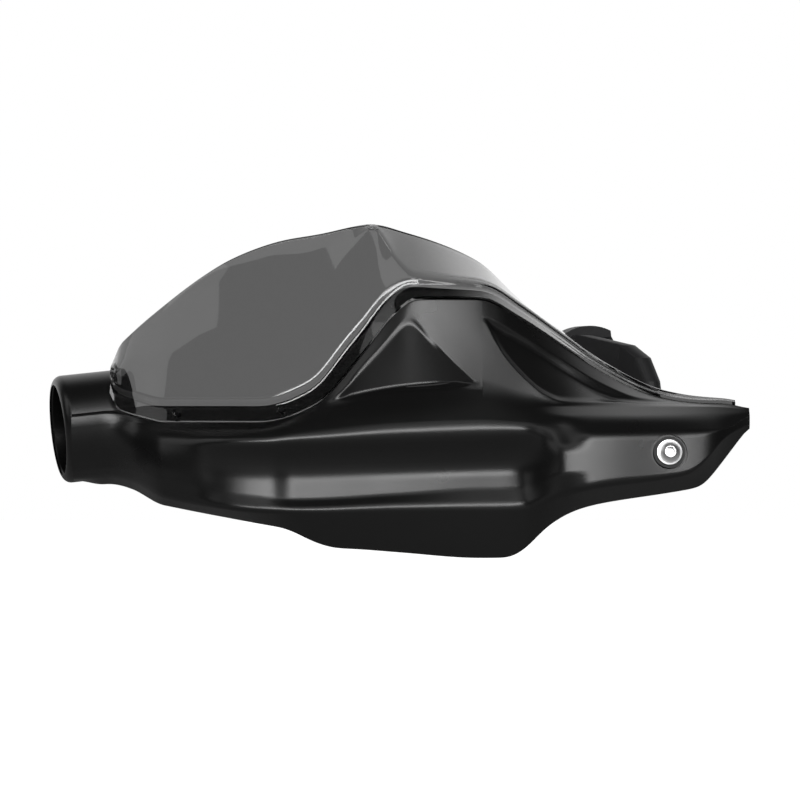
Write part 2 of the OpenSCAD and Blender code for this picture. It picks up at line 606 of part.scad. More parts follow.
guard_shell();
wind_deflector();
deflector_screw(0);  // deflector_screw_1
deflector_screw(1);  // deflector_screw_2
deflector_screw(2);  // deflector_screw_3
deflector_screw(3);  // deflector_screw_4
deflector_washer(0);  // deflector_washer_1
deflector_washer(1);  // deflector_washer_2
deflector_washer(2);  // deflector_washer_3
deflector_washer(3);  // deflector_washer_4
bar_end_bush();
mounting_screw();
screw_grommet();
screw_sleeve();
inner_bracket();
clamp_cap();
clamp_screw(1);  // clamp_screw_1
clamp_screw(-1);  // clamp_screw_2
clamp_washer(1);  // clamp_washer_1
clamp_washer(-1);  // clamp_washer_2
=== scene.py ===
"""The looks of a motorcycle hand guard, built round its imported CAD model."""
import json
import math

import bmesh
import bpy
import numpy as np
from mathutils import Matrix, Vector


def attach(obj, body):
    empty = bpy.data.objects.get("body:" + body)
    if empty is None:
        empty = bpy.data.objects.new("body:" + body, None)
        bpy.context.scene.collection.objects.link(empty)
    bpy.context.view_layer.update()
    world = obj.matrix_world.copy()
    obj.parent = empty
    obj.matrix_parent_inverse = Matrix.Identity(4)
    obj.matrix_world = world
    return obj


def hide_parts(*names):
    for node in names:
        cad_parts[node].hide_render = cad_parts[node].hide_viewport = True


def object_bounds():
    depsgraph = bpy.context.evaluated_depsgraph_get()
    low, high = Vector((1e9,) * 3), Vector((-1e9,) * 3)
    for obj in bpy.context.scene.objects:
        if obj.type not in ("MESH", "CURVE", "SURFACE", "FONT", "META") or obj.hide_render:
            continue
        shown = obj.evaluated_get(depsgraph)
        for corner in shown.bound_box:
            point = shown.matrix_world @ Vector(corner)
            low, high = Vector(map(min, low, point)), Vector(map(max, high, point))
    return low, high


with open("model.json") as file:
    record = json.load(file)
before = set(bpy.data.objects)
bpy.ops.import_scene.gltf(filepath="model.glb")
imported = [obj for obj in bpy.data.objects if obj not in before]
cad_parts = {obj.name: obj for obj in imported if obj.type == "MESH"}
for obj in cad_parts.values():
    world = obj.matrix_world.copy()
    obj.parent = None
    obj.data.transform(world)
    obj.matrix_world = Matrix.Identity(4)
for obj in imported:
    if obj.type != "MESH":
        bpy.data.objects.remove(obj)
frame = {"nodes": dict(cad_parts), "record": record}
cad_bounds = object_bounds()
MM = 0.001

# Style lines of the shell and the deflector in millimetres, after the CAD model's.
# A LINE is a curve in the front view as [x, z], a DEPTH the same curve in plan as [x, y],
# and the others are a share, a length or an angle along the shell as [x, value].
LINE_TOP = [[21, 2.3], [81, 2.3], [91, 4.1], [99, 7.2], [107, 11.4], [126, 32.8], [144, 54.3],
    [151, 58.8], [180, 58.8], [199, 49.7], [217, 38.3], [235, 26.9], [253, 17.5], [266, 13.2],
    [281, 11.2], [294, 10.9], [303, 8.5]]
LINE_SHOULDER = [[21, 0], [78, 0], [110, 8.5], [143, 14.5], [180, 17.5], [203, 11.5], [221, 9.6],
    [265, 9.6], [290, 9.2], [303, 7.5]]
LINE_ARM = [[21, -2.5], [78, -1.5], [110, 3.5], [143, 7], [180, 8.5], [203, 5.5], [225, 3.8],
    [290, 4.5], [303, 6.5]]
LINE_RIDGE = [[21, -5.5], [81, -6], [107, -4.5], [144, -2.2], [201, -0.8], [214, -1.8], [226, -3.6],
    [290, -1.5], [303, 5.5]]
LINE_UNDER = [[21, -11], [81, -13.5], [144, -12.5], [201, -11], [217, -9.5], [265, -8.5], [276, -7.5],
    [284, -6], [290, -2.7], [303, 4.5]]
LINE_FLOOR = [[21, -17], [81, -21.5], [144, -20], [201, -18.5], [217, -15.5], [265, -14], [274, -13],
    [284, -9], [290, -3.6], [303, 3.5]]
LINE_CREASE = [[21, -22], [81, -31.5], [98, -33], [144, -30.5], [180, -28], [201, -27.5], [206, -24.5],
    [217, -21], [265, -18.5], [274, -17.5], [284, -11.2], [290, -4.5], [303, 2.5]]
LINE_LIP = [[21, -28], [53, -35], [81, -38], [107, -37.2], [144, -36], [201, -35.5], [215, -31],
    [231, -27], [274, -21], [284, -13.2], [290, -5.6], [303, 1.5]]
LINE_BOTTOM = [[21, -33.2], [53, -39.2], [66, -41.5], [81, -44.2], [91, -46], [107, -53], [115, -55],
    [126, -55.6], [144, -57], [180, -59.5], [192, -59.4], [199, -56.5], [210, -46], [217, -41],
    [225, -37.3], [235, -34.7], [266, -29.9], [276, -28.2], [281, -26.9], [287, -20.5], [294, -11.4],
    [303, 0.5]]
LINE_RECESS_TOP = [[21, 1.7], [78, 1.7], [100, 6.3], [114, 13.2], [123.5, 24.6], [137, 38.5], [144, 47],
    [148, 51.5], [153, 46.8], [167, 30.5], [181.4, 19.8], [181.6, 50.2], [199, 42.7], [217, 31.5],
    [235, 20.7], [253, 13.5], [266, 12], [303, 8.25]]
LINE_RECESS_BOTTOM = [[21, 0.6], [78, 0.6], [100, 5], [114, 11.8], [181.4, 18.3], [181.6, 48.3],
    [189.5, 35], [200, 22], [210, 13.8], [221, 10.6], [265, 10.4], [303, 7.75]]
# Recesses: share of their depth at the floor's upper and lower line, and how far their upper
# and lower edges stand out from the straight face
RECESS_SHARE = [[113, 0], [121, -0.35], [138, -0.45], [146, -0.4], [154, -0.2], [160, 0.15],
    [167, 0.55], [173, 0.6], [179.5, 0], [181.6, 0], [188, 1], [258, 1], [276, 0]]
RECESS_FOOT = [[113, 0], [125, 1], [146, 1.8], [160, 2.1], [168, 1.6], [174, 0.9], [179.5, 0],
    [181.6, 0], [188, 0.2], [225, 0.4], [258, 1], [276, 0]]
UPPER_BULGE = [[113, 0], [122, 1], [138, 1.5], [146, 0.9], [152, 0]]
LOWER_BULGE = [[113, 0], [125, -0.9], [150, -1.3], [168, -1.1], [179, 0], [181.6, 0], [188, 0.5],
    [194, 1.4], [202, 2.3], [210, 1.5], [221, 0]]
# Panel: share of its tilt, and how far its upper and lower edges lie back at its outer end
PANEL_SHARE = [[203, 0], [217, 1], [281, 1], [303, 0]]
PANEL_CORNER = [[205, 0], [212, 2.2], [218, 4], [223, 2], [229, 0]]
DEPTH_TOP = [[21, -29], [53, -38], [78, -44], [94, -45], [121, -42], [151, -38], [167, -37], [189, -33],
    [203, -27], [217, -21], [235, -17], [253, -18], [271, -26], [288, -36], [303, -47]]
DEPTH_SHOULDER = [[21, -32], [53, -43], [66, -48], [78, -50], [94, -50], [110, -48], [151, -46],
    [180, -48], [203, -50], [225, -48], [265, -42], [290, -44], [303, -48]]
DEPTH_ARM = [[21, -34.5], [45, -45], [66, -53.5], [81, -56], [110, -53.5], [180, -54], [203, -56],
    [225, -60], [265, -55.5], [290, -52], [303, -49]]
DEPTH_FRONT = [[21, -36.5], [45, -48.5], [57, -55.5], [65, -59], [76, -60.6], [86, -61], [95, -60],
    [150, -60], [201, -60], [209, -64], [217, -67.6], [225, -68], [265, -64], [286, -61.9],
    [292.5, -57.3], [303, -50]]
DEPTH_BOTTOM = [[21, -26], [53, -42], [81, -51], [96, -52.5], [191, -53], [206, -54], [225, -56],
    [265, -53], [290, -50], [303, -49.5]]
# Channel: share of its depth; front: how far it bows out beside the cup; flange: share of its
# width, and how far it leans back in degrees
CHANNEL_SHARE = [[48, 0], [64, 0.6], [86, 0.75], [94, 1], [192, 1], [215, 0]]
BOW = [[21, 2], [50, 1], [60, 0], [303, 0]]
FLANGE_SHARE = [[12, 0.25], [30, 1], [235, 0.9], [270, 0.5], [303, 0.15]]
FLANGE_LEAN = [[21, 18], [110, 18], [130, 22], [145, 34], [160, 48], [185, 62], [217, 74], [235, 80],
    [303, 84]]
# For each corner of the section: its angle on the wrap in degrees, how far it lies below the
# wrap's radius, and the reach of its rounding
WRAP_ANGLES = [17, 14, 11, 9, 7, 5, 3, 1, -5, -12, -21, -32, -45, -58, -80]
WRAP_SETBACK = [4, 2, 0, 0, 0, 0, 0, 0, 0, 0, 0, 0, 0, 0, 0]
ROUNDING = [0, 0, 1.2, 1, 1.6, 1.6, 1, 4.5, 6, 8, 6, 9, 1.2, 2.6, 0]
# Deflector: its upper edge, what lifts its base, the crease's height as a share and its bulge,
# and the reach of each corner's rounding from the top rim to the base rim
SCREEN_TOP = [[10.3, 28], [14, 37.5], [18.5, 42], [30, 52], [52.7, 69.3], [66, 77.3], [81, 83.4],
    [91, 86.2], [107, 88.9], [126, 93], [130, 93.5], [135, 93], [144, 90.7], [162, 85.3], [180.3, 77],
    [198.6, 60.5], [210, 50.8], [217, 46.5], [235, 33.3], [253, 22.3], [266, 16.4], [281, 13.4],
    [297, 11.8]]
SCREEN_TOP_DEPTH = [[10.3, -9], [14, -13], [18.5, -15.5], [30, -18], [52.7, -20.5], [93, -22.5],
    [120, -23.5], [131, -23], [145, -14], [163, -4.5], [181, 4], [199, 10], [217, 12], [235, 8],
    [253, 0], [266, -9], [281, -21], [297, -37]]
SCREEN_BASE_LIFT = [[10.3, 8], [11.5, 4.5], [13.5, 2], [17, 0.6], [21, 0.3], [297, 0.3]]
CREASE_SHARE = [[10, 0.5], [105, 0.5], [120, 0.76], [131, 0.95], [134, 0.9], [138, 0.7], [144, 0.3],
    [149, 0.12], [297, 0.12]]
CREASE_BULGE = [[10, 0.8], [52, 1.6], [128, 1.8], [138, 3.2], [144, 2.4], [150, 1], [200, 0.6],
    [297, 0]]
SCREEN_ROUNDING = [0, 1, 2.5, 2, 2, 0, 0]

# Cup for the bar-end weight, and the direction of the bar
CUP_D, CUP_BORE, CUP_DEPTH, CUP_BACK, CUP_BACK_WALL, CUP_LIP = 50, 42, 15.5, 13, 3, 4
# Points of the mouth's inner edge, outwards from the bore and inwards from the mouth
MOUTH_EDGE = ((0, 1.5), (1, 0.4))
WEB_T, WEB_HOLE = 5, 20
BAR_SWEEP, BAR_RISE = math.radians(13), math.radians(6)

# Shell: where it starts, ends and leaves the wrap round the cup, and its wall and forms
FIRST_X, LAST_X, STYLED_FROM = -7, 303, 21
WRAP_END, WRAP_BLEND, WRAP_PROUD, WRAP_SUNK, WRAP_FOOT = 6, 30, 3, 2.5, 14
TIP_CLOSE = (274, 289)
WALL, CHANNEL_DEPTH, FLANGE_W = 3, 6.5, 8.5
UNDER_SHARE, CREASE_DEPTH_SHARE = 0.75, 0.62
FLOOR_BOW, LIP_BOW = 1.4, 0.3
RECESS_DEPTH, RECESS_SLOPE, RECESS_SLOPE_SHARE = 2.6, 2.8, 0.3
RECESS_NARROW, RECESS_NARROW_INSIDE, RECESS_FULL = 2.4, 8.4, 7
RECESS_OVER_SHOULDER, RECESS_UNDER_TOP = 0.7, 5
RECESS_EDGE_SHARE, RECESS_HEIGHT_SHARE = 0.15, 0.2
STRUT_X = (181.4, 181.6)
PANEL_TILT = math.radians(8)
# Index of the section's corner at the top of the front, which the inner section leaves out
TOP = 2

# Deflector: ends, thickness, step, gap and rise, and the most of its height that each may take
SCREEN_FIRST_X, SCREEN_LAST_X = 10.3, 297
SCREEN_T, SCREEN_STEP, SCREEN_GAP, SCREEN_RISE = 3, 2, 0.3, 2.5
SCREEN_PROUD = 0.8
SEAT_STEP = SCREEN_T - SCREEN_PROUD
BAND_OF_FLANGE, BAND_SHARE, RISE_SHARE, STEP_SHARE = 0.8, 0.35, 0.15, 0.1
# How far each rim turns over to the other skin
RIM_SHARE = 0.42
FIXING_X = (42, 90, 141, 226)
POST_D, BORE_GAP, POST_REACH = 4.6, 0.2, 1.4
POST_HOLE_SPAN = (-3, 6)

# Mounting screw's place, with the boss, spot face and neck for its grommet
SCREW_X, SCREW_Z = 265.6, -11.4
SPOT_D, SPOT_DEPTH, GROMMET_NECK_D, BOSS_D, BOSS_DEPTH, BOSS_SUNK = 16.6, 1, 12, 20, 8, 1
# How far the cutters of the screw's place, the web's hole and the bore reach past what they cut
CUT_PAST, WEB_CUT_PAST, BORE_CUT_PAST = 5, 1, 10

# Density and easing of the lofts
SHELL_ROWS = (150, 100)
SCREEN_ROWS = 170
CORNER_SHARE = 0.46
CORNER_STEPS = 6
FILL = 3
LIP_STEPS = 12
ROD_SEGMENTS, CUP_SEGMENTS = 96, 160
SMOOTHING = 2.5
# Half the lengths over which the slopes of edges and of the panel are measured
HALF_STEP, PANEL_SPAN = 0.5, 4
MITRE_LIMIT = 0.6
SHARP_DEGREES = 38


def mix(a, b, t):
    return a + (b - a) * t


def smooth(t):
    s = min(1, max(0, t))
    return s * s * (3 - 2 * s)


def yz(y, z):
    return np.array((y, z), float)


def unit(v):
    return v / max(np.linalg.norm(v), 1e-9)


# Monotone cubic curve through [x, value] knots, the same curve as the CAD model's
def knot_curve(knots, x):
    last = len(knots) - 1
    i = 0
    while i < last - 1 and x >= knots[i + 1][0]:
        i += 1

    def slope(k):
        return (knots[k + 1][1] - knots[k][1]) / (knots[k + 1][0] - knots[k][0])

    def tangent(k):
        if k == 0:
            return slope(0)
        if k == last:
            return slope(last - 1)
        a, b = slope(k - 1), slope(k)
        return 0 if a * b <= 0 else 2 * a * b / (a + b)

    h = knots[i + 1][0] - knots[i][0]
    t = min(1, max(0, (x - knots[i][0]) / h))
    return ((1 + 2 * t) * (1 - t) ** 2 * knots[i][1] + t * (1 - t) ** 2 * h * tangent(i)
            + t * t * (3 - 2 * t) * knots[i + 1][1] - t * t * (1 - t) * h * tangent(i + 1))


# The same curve with its bends eased over a few millimetres, as a moulding's surface has them
def curve(knots, x, ease=SMOOTHING):
    taps = ((-2, 1), (-1, 4), (0, 6), (1, 4), (2, 1))
    total = sum(weight for _, weight in taps)
    return sum(weight * knot_curve(knots, x + k * ease) for k, weight in taps) / total


# The recesses' lines jump at the strut, so their bends are eased without reaching across it
def beside_strut(knots, x):
    reach = (abs(x - sum(STRUT_X) / 2) - (STRUT_X[1] - STRUT_X[0]) / 2) / 2
    return curve(knots, x, min(SMOOTHING, max(0, reach)))


# How much longer the top edge is than its length along x
def edge_stretch(x):
    return math.hypot(1, curve(LINE_TOP, x + HALF_STEP) - curve(LINE_TOP, x - HALF_STEP))


def bar_axis(x):
    return yz(x * math.tan(BAR_SWEEP), x * math.tan(BAR_RISE) / math.cos(BAR_SWEEP))


def flange_up(x):
    a = math.radians(curve(FLANGE_LEAN, x))
    return yz(math.sin(a), math.cos(a))


def flange_out(x):
    a = math.radians(curve(FLANGE_LEAN, x))
    return yz(-math.cos(a), math.sin(a))


# Point of the front at height z, set back by depth from the line between its top and its shoulder
def face_point(top, shoulder, z, depth):
    t = (top[1] - z) / (top[1] - shoulder[1])
    d = unit(shoulder - top)
    return mix(top, shoulder, t) + depth * yz(-d[1], d[0])


# The shell's section away from the cup, from the flange over the top and the front to the bottom edge
def styled_section(x, narrow=RECESS_NARROW):
    top = yz(curve(DEPTH_TOP, x), curve(LINE_TOP, x))
    shoulder = yz(curve(DEPTH_SHOULDER, x), curve(LINE_SHOULDER, x))
    front = curve(DEPTH_FRONT, x)
    channel = CHANNEL_DEPTH * curve(CHANNEL_SHARE, x)
    belly = curve(BOW, x)
    corner = curve(PANEL_CORNER, x, 1)
    seat = top - SEAT_STEP * flange_out(x)
    tall = top[1] - shoulder[1]
    edge = RECESS_EDGE_SHARE * tall
    least_low = shoulder[1] + min(RECESS_OVER_SHOULDER * narrow, edge)
    low = max(beside_strut(LINE_RECESS_BOTTOM, x), least_low)
    most_high = top[1] - min(RECESS_UNDER_TOP, edge)
    least_high = low + min(narrow, RECESS_HEIGHT_SHARE * tall)
    high = max(min(beside_strut(LINE_RECESS_TOP, x), most_high), least_high)
    slope = min(RECESS_SLOPE, RECESS_SLOPE_SHARE * (high - low))
    recess = RECESS_DEPTH * smooth((high - low) / RECESS_FULL)
    tilt = math.tan(PANEL_TILT) * curve(PANEL_SHARE, x)

    def leaned(y, line):
        z = curve(line, x)
        return yz(y + (z - SCREW_Z) * tilt, z)

    flange = FLANGE_W * curve(FLANGE_SHARE, x) * edge_stretch(x)
    return [seat + flange * flange_up(x), seat, top,
            face_point(top, shoulder, high, -beside_strut(UPPER_BULGE, x)),
            face_point(top, shoulder, high - slope, recess * beside_strut(RECESS_SHARE, x)),
            face_point(top, shoulder, low + slope, recess * beside_strut(RECESS_FOOT, x)),
            face_point(top, shoulder, low, -beside_strut(LOWER_BULGE, x)), shoulder,
            yz(curve(DEPTH_ARM, x), curve(LINE_ARM, x)),
            leaned(front + corner, LINE_RIDGE),
            leaned(front + UNDER_SHARE * channel - belly, LINE_UNDER),
            leaned(front + channel - FLOOR_BOW * belly, LINE_FLOOR),
            leaned(front + CREASE_DEPTH_SHARE * channel - belly, LINE_CREASE),
            leaned(front + LIP_BOW * belly + corner, LINE_LIP),
            yz(curve(DEPTH_BOTTOM, x), curve(LINE_BOTTOM, x))]


def round_bar(x, r, degrees):
    a = math.radians(degrees)
    return bar_axis(x) + r * yz(-math.cos(a), math.sin(a))


def unwrap(x):
    return smooth((x - WRAP_END) / WRAP_BLEND)


# The whole section: a wrap round the cup at first, whose lower end starts flush with it
def section(x):
    foot = WRAP_PROUD * (1 - smooth((x - FIRST_X) / WRAP_FOOT))
    proud = CUP_D / 2 + WRAP_PROUD
    around = [round_bar(x, proud - back, a) for a, back in zip(WRAP_ANGLES, WRAP_SETBACK[:-1] + [foot])]
    styled = styled_section(max(x, STYLED_FROM))
    return [mix(a, b, unwrap(x)) for a, b in zip(around, styled)]


# Inward direction of the run from a to b
def side(a, b):
    d = unit(b - a)
    return yz(-d[1], d[0])


def inset(points, t):
    out = []
    last = len(points) - 1
    for i, p in enumerate(points):
        m = side(points[max(0, i - 1)], points[max(1, i)])
        n = side(points[min(last - 1, i)], points[min(last, i + 1)])
        out.append(p + t * (m + n) / max(MITRE_LIMIT, 1 + m.dot(n)))
    return out


def without(values, skip):
    return [v for i, v in enumerate(values) if i != skip]


# The section a wall's thickness inside, which closes on the line between its ends towards the tip
def inner_section(x):
    around = [round_bar(x, CUP_D / 2 - WRAP_SUNK, a) for a in without(WRAP_ANGLES, TOP)]
    styled = inset(without(styled_section(max(x, STYLED_FROM), RECESS_NARROW_INSIDE), TOP), WALL)
    q = [mix(a, b, unwrap(x)) for a, b in zip(around, styled)]
    s = smooth((x - TIP_CLOSE[0]) / (TIP_CLOSE[1] - TIP_CLOSE[0]))
    n = len(q) - 1
    return [mix(p, mix(q[0], q[n], i / n), s) for i, p in enumerate(q)]


# Section points with the corners rounded and FILL points along each straight run
def rounded(points, reach):
    corners = [[points[0]]]
    for before, p, after, r in zip(points, points[1:], points[2:], reach[1:]):
        if r == 0:
            corners.append([p])
            continue
        c = min(r, CORNER_SHARE * np.linalg.norm(p - before), CORNER_SHARE * np.linalg.norm(after - p))
        a = p + c * unit(before - p)
        b = p + c * unit(after - p)
        turns = [k / CORNER_STEPS for k in range(CORNER_STEPS + 1)]
        corners.append([mix(mix(a, p, t), mix(p, b, t), t) for t in turns])
    corners.append([points[-1]])
    out = []
    for here, there in zip(corners, corners[1:]):
        out += here + [mix(here[-1], there[0], k / (FILL + 1)) for k in range(1, FILL + 1)]
    return out + corners[-1]


# The corner each point of a rounded section belongs to
def owners(reach):
    out = [0] * (1 + FILL)
    for i in range(1, len(reach) - 1):
        out += [i] * ((CORNER_STEPS + 1 if reach[i] else 1) + FILL)
    return out + [len(reach) - 1]


# The deflector's front skin from its upper edge over the crease and the step to its base
def screen_section(x):
    up, out, stretch = flange_up(x), flange_out(x), edge_stretch(x)
    base = section(x)[1] + knot_curve(SCREEN_BASE_LIFT, x) * up + (SCREEN_GAP + SCREEN_T) * out
    top = yz(curve(SCREEN_TOP_DEPTH, x, 1), curve(SCREEN_TOP, x, 1))
    tall = np.linalg.norm(top - base)
    band = min(FLANGE_W * BAND_OF_FLANGE * stretch, BAND_SHARE * tall)
    rise = min(SCREEN_RISE * stretch, RISE_SHARE * tall)
    step = min(SCREEN_STEP, STEP_SHARE * tall)
    band_end = base + band * up
    step_end = band_end + rise * up + step * out
    d = unit(top - step_end)
    crease = mix(step_end, top, curve(CREASE_SHARE, x, 1)) + curve(CREASE_BULGE, x, 1) * yz(-d[1], d[0])
    return [top, crease, step_end, band_end, base]


# Meshes


def new_object(name, verts, faces, millimetres=True):
    mesh = bpy.data.meshes.new(name)
    scale = MM if millimetres else 1
    mesh.from_pydata([tuple(float(c) * scale for c in v) for v in verts], [], faces)
    mesh.validate()
    obj = bpy.data.objects.new(name, mesh)
    bpy.context.scene.collection.objects.link(obj)
    return obj


# Closed skin between an outer and an inner grid, whose rows share their stations;
# owner gives the inner point that each outer point is closed to at the two ends
def double_skin(name, xs, outer, inner, owner):
    m, n, rows = len(outer[0]), len(inner[0]), len(xs)
    base = rows * m
    verts = [(x, p[0], p[1]) for x, row in zip(xs, outer) for p in row]
    verts += [(x, p[0], p[1]) for x, row in zip(xs, inner) for p in row]
    faces = []
    for j in range(rows - 1):
        for i in range(m - 1):
            a = j * m + i
            faces.append((a, a + 1, a + m + 1, a + m))
        for i in range(n - 1):
            a = base + j * n + i
            faces.append((a, a + n, a + n + 1, a + 1))
        a, b = j * m, base + j * n
        faces.append((a, a + m, b + n, b))
        a, b = a + m - 1, b + n - 1
        faces.append((a, b, b + n, a + m))
    end, inner_end = (rows - 1) * m, base + (rows - 1) * n
    for i in range(m - 1):
        here, after = owner[i], owner[i + 1]
        if here == after:
            faces.append((i, base + here, i + 1))
            faces.append((end + i, end + i + 1, inner_end + here))
        else:
            faces.append((i, base + here, base + after, i + 1))
            faces.append((end + i, end + i + 1, inner_end + after, inner_end + here))
    return new_object(name, verts, faces)


# A lathe about the local Z axis from an [r, z] profile, placed by a 4x4 matrix in millimetres
def revolve(name, profile, place, segments=ROD_SEGMENTS):
    verts, faces = [], []
    rings = []
    for r, z in profile:
        if r < 1e-6:
            rings.append([len(verts)])
            verts.append(place @ Vector((0, 0, z)))
        else:
            rings.append(list(range(len(verts), len(verts) + segments)))
            for k in range(segments):
                a = 2 * math.pi * k / segments
                verts.append(place @ Vector((r * math.cos(a), r * math.sin(a), z)))
    for p, q in zip(rings, rings[1:] + rings[:1]):
        if len(p) == 1 and len(q) == 1:
            continue
        for k in range(segments):
            after = (k + 1) % segments
            corners = [p[k % len(p)], p[after % len(p)], q[after % len(q)], q[k % len(q)]]
            face = list(dict.fromkeys(corners))
            if len(face) > 2:
                faces.append(face)
    obj = new_object(name, verts, faces)
    bm = bmesh.new()
    bm.from_mesh(obj.data)
    bmesh.ops.recalc_face_normals(bm, faces=bm.faces)
    bm.to_mesh(obj.data)
    bm.free()
    return obj


def rod(name, place, start, end, d):
    return revolve(name, [(0, start), (d / 2, start), (d / 2, end), (0, end)], place)


# Joins the tools to a piece or cuts them out of it, and removes them
def combine(obj, tools, operation):
    for tool in tools:
        modifier = obj.modifiers.new(operation.lower(), "BOOLEAN")
        modifier.operation = operation
        modifier.solver = "MANIFOLD"
        modifier.object = tool
    depsgraph = bpy.context.evaluated_depsgraph_get()
    mesh = bpy.data.meshes.new_from_object(obj.evaluated_get(depsgraph))
    obj.modifiers.clear()
    obj.data = mesh
    for tool in tools:
        bpy.data.objects.remove(tool)


def shade(obj):
    obj.data.shade_smooth()
    obj.data.set_sharp_from_angle(angle=math.radians(SHARP_DEGREES))


# Frame on the outer face of the cup's web, whose Z axis runs inwards along the bar
def bar_frame():
    turn = Matrix.Rotation(BAR_SWEEP, 4, "Z") @ Matrix.Rotation(-BAR_RISE, 4, "Y")
    return turn @ Matrix.Rotation(math.pi / 2, 4, "Y")


# Frame on the panel at the mounting screw, whose Z axis points into the shell
def screw_frame():
    before = knot_curve(DEPTH_FRONT, SCREW_X - PANEL_SPAN)
    after = knot_curve(DEPTH_FRONT, SCREW_X + PANEL_SPAN)
    rise = (after - before) / (2 * PANEL_SPAN)
    place = Matrix.Translation((SCREW_X, knot_curve(DEPTH_FRONT, SCREW_X), SCREW_Z))
    turn = Matrix.Rotation(math.atan(rise), 4, "Z") @ Matrix.Rotation(-math.pi / 2 - PANEL_TILT, 4, "X")
    return place @ turn


# Middle of the flange's outer face at x
def flange_point(x):
    flange = FLANGE_W * curve(FLANGE_SHARE, x) * edge_stretch(x)
    p = section(x)[1] + 0.5 * flange * flange_up(x)
    return Vector((x, p[0], p[1]))


# Frame behind the flange at a fixing, whose Z axis points out through it, and the flange's thickness
def fixing_frame(x):
    up, out = flange_up(x), flange_out(x)
    along = flange_point(x + HALF_STEP) - flange_point(x - HALF_STEP)
    n = along.cross(Vector((0, up[0], up[1]))).normalized()
    thick = WALL * abs(n.dot(Vector((0, out[0], out[1]))))
    turn = n.to_track_quat("Z", "Y").to_matrix().to_4x4()
    return Matrix.Translation(flange_point(x)) @ turn @ Matrix.Translation((0, 0, -thick)), thick


def stations(first, last, count):
    return [mix(first, last, k / (count - 1)) for k in range(count)]


def cup():
    r, bore, lip = CUP_D / 2, CUP_BORE / 2, CUP_LIP
    profile = [(0, 0), (bore, 0)] + [(bore + out, deep - CUP_DEPTH) for out, deep in MOUTH_EDGE]
    for k in range(LIP_STEPS + 1):
        a = math.radians(90 * k / LIP_STEPS)
        profile.append((r - lip + lip * math.sin(a), lip - CUP_DEPTH - lip * math.cos(a)))
    back, inner = WEB_T + CUP_BACK, r - CUP_BACK_WALL
    profile += [(r, back), (inner, back), (inner, WEB_T), (0, WEB_T)]
    return revolve("cup", profile, bar_frame(), CUP_SEGMENTS)


def guard_shell():
    xs = stations(FIRST_X, STRUT_X[0], SHELL_ROWS[0])
    xs += stations(STRUT_X[1], LAST_X, SHELL_ROWS[1])
    outer = [rounded(section(x), ROUNDING) for x in xs]
    inner = [inner_section(x) for x in xs]
    owner = [i if i < TOP else i - 1 for i in owners(ROUNDING)]
    obj = double_skin("guard_shell_moulding", xs, outer, inner, owner)
    boss = rod("boss", screw_frame(), WALL - BOSS_SUNK, BOSS_DEPTH, BOSS_D)
    combine(obj, [cup(), boss], "UNION")
    cuts = [rod("cup_bore", bar_frame(), -CUP_DEPTH - BORE_CUT_PAST, 0, CUP_BORE),
            rod("web_hole", bar_frame(), -WEB_CUT_PAST, WEB_T + WEB_CUT_PAST, WEB_HOLE),
            rod("spot", screw_frame(), -CUT_PAST, SPOT_DEPTH, SPOT_D),
            rod("neck", screw_frame(), -CUT_PAST, BOSS_DEPTH + CUT_PAST, GROMMET_NECK_D)]
    for x in FIXING_X:
        cuts.append(rod("post_hole", fixing_frame(x)[0], *POST_HOLE_SPAN, POST_D + 2 * BORE_GAP))
    combine(obj, cuts, "DIFFERENCE")
    shade(obj)
    weigh = obj.modifiers.new("weigh", "WEIGHTED_NORMAL")
    weigh.mode = "FACE_AREA"
    weigh.keep_sharp = True
    return obj


# One skin of the deflector with its rims turned over toward the other skin
def rimmed(skin, other):
    ends = mix(skin[0], other[0], RIM_SHARE), mix(skin[-1], other[-1], RIM_SHARE)
    return rounded([ends[0]] + skin + [ends[1]], SCREEN_ROUNDING)


def wind_deflector():
    xs = stations(SCREEN_FIRST_X, SCREEN_LAST_X, SCREEN_ROWS)
    fronts = [screen_section(x) for x in xs]
    backs = [inset(front, SCREEN_T) for front in fronts]
    outer = [rimmed(front, back) for front, back in zip(fronts, backs)]
    inner = [rimmed(back, front) for front, back in zip(fronts, backs)]
    owner = list(range(len(outer[0])))
    obj = double_skin("smoked_deflector", xs, outer, inner, owner)
    posts = []
    for x in FIXING_X:
        place, thick = fixing_frame(x)
        posts.append(rod("post", place, BORE_GAP, thick + SCREEN_GAP + POST_REACH, POST_D))
    combine(obj, posts, "UNION")
    shade(obj)
    return obj


# Materials: scales are per metre

CLOUD_SCALE = 35
BUMP_DISTANCE = 0.0002


def new_material(name):
    mat = bpy.data.materials.new(name)
    mat.use_nodes = True
    return mat, mat.node_tree, mat.node_tree.nodes["Principled BSDF"]


